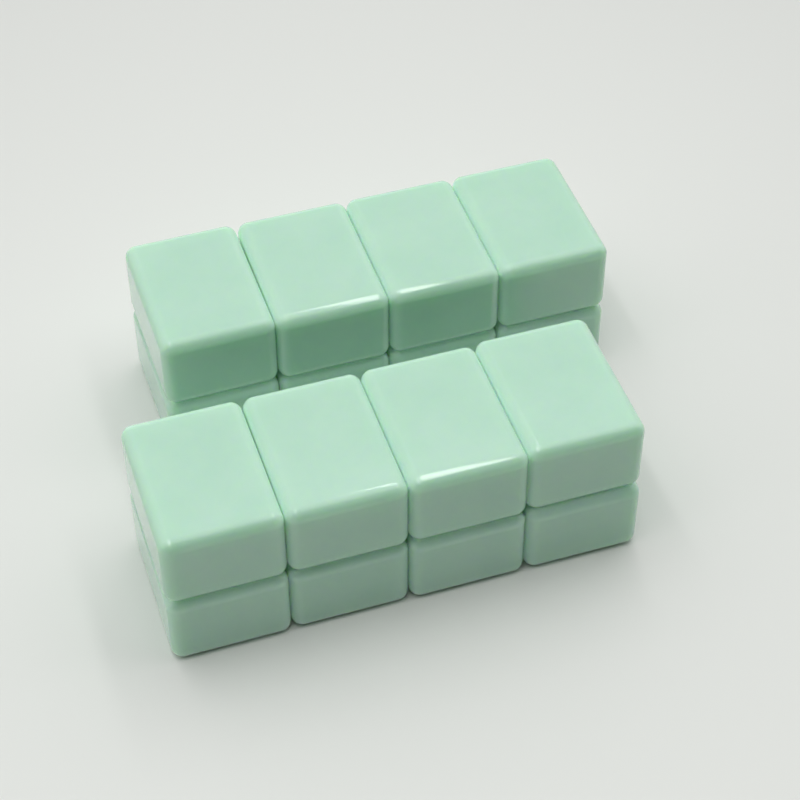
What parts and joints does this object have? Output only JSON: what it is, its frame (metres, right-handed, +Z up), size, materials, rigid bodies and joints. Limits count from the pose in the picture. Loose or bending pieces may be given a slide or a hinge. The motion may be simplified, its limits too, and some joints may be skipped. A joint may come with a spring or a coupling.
{
  "type": "wall section of mahjong tiles",
  "caption": "Loose rounded playing tiles in mint green plastic, lying face down in parallel rows of double-height stacks that form part of a game wall.",
  "frame": {"origin": "on the table, below the middle of the whole group: bottom centre of the box around all the tiles", "axes": "+X along the rows, the way the tiles stand side by side; +Y from the front row to the back row; +Z up"},
  "size_m": [0.1361, 0.1054, 0.042],
  "materials": {
    "mint_plastic": "gloss"
  },
  "bodies": {
    "front_lower_tile_1": {"front_lower_tile_1": "mint_plastic"},
    "front_lower_tile_2": {"front_lower_tile_2": "mint_plastic"},
    "front_lower_tile_3": {"front_lower_tile_3": "mint_plastic"},
    "front_lower_tile_4": {"front_lower_tile_4": "mint_plastic"},
    "front_upper_tile_1": {"front_upper_tile_1": "mint_plastic"},
    "front_upper_tile_2": {"front_upper_tile_2": "mint_plastic"},
    "front_upper_tile_3": {"front_upper_tile_3": "mint_plastic"},
    "front_upper_tile_4": {"front_upper_tile_4": "mint_plastic"},
    "back_lower_tile_1": {"back_lower_tile_1": "mint_plastic"},
    "back_lower_tile_2": {"back_lower_tile_2": "mint_plastic"},
    "back_lower_tile_3": {"back_lower_tile_3": "mint_plastic"},
    "back_lower_tile_4": {"back_lower_tile_4": "mint_plastic"},
    "back_upper_tile_1": {"back_upper_tile_1": "mint_plastic"},
    "back_upper_tile_2": {"back_upper_tile_2": "mint_plastic"},
    "back_upper_tile_3": {"back_upper_tile_3": "mint_plastic"},
    "back_upper_tile_4": {"back_upper_tile_4": "mint_plastic"}
  },
  "joints": [
    {"name": "front_upper_tile_1_lift", "type": "slide", "parent": "front_lower_tile_1", "child": "front_upper_tile_1", "axis": [0, 0, 1], "range_m": [0, 0.045]},
    {"name": "front_stack_2_slide", "type": "slide", "parent": "front_lower_tile_1", "child": "front_lower_tile_2", "axis": [0, -1, 0], "range_m": [0, 0.06]},
    {"name": "front_upper_tile_2_lift", "type": "slide", "parent": "front_lower_tile_2", "child": "front_upper_tile_2", "axis": [0, 0, 1], "range_m": [0, 0.045]},
    {"name": "front_stack_3_slide", "type": "slide", "parent": "front_lower_tile_1", "child": "front_lower_tile_3", "axis": [0, -1, 0], "range_m": [0, 0.06]},
    {"name": "front_upper_tile_3_lift", "type": "slide", "parent": "front_lower_tile_3", "child": "front_upper_tile_3", "axis": [0, 0, 1], "range_m": [0, 0.045]},
    {"name": "front_stack_4_slide", "type": "slide", "parent": "front_lower_tile_1", "child": "front_lower_tile_4", "axis": [0, -1, 0], "range_m": [0, 0.06]},
    {"name": "front_upper_tile_4_lift", "type": "slide", "parent": "front_lower_tile_4", "child": "front_upper_tile_4", "axis": [0, 0, 1], "range_m": [0, 0.045]},
    {"name": "back_stack_1_slide", "type": "slide", "parent": "front_lower_tile_1", "child": "back_lower_tile_1", "axis": [0, 1, 0], "range_m": [0, 0.06]},
    {"name": "back_upper_tile_1_lift", "type": "slide", "parent": "back_lower_tile_1", "child": "back_upper_tile_1", "axis": [0, 0, 1], "range_m": [0, 0.045]},
    {"name": "back_stack_2_slide", "type": "slide", "parent": "front_lower_tile_1", "child": "back_lower_tile_2", "axis": [0, 1, 0], "range_m": [0, 0.06]},
    {"name": "back_upper_tile_2_lift", "type": "slide", "parent": "back_lower_tile_2", "child": "back_upper_tile_2", "axis": [0, 0, 1], "range_m": [0, 0.045]},
    {"name": "back_stack_3_slide", "type": "slide", "parent": "front_lower_tile_1", "child": "back_lower_tile_3", "axis": [0, 1, 0], "range_m": [0, 0.06]},
    {"name": "back_upper_tile_3_lift", "type": "slide", "parent": "back_lower_tile_3", "child": "back_upper_tile_3", "axis": [0, 0, 1], "range_m": [0, 0.045]},
    {"name": "back_stack_4_slide", "type": "slide", "parent": "front_lower_tile_1", "child": "back_lower_tile_4", "axis": [0, 1, 0], "range_m": [0, 0.06]},
    {"name": "back_upper_tile_4_lift", "type": "slide", "parent": "back_lower_tile_4", "child": "back_upper_tile_4", "axis": [0, 0, 1], "range_m": [0, 0.045]}
  ]
}
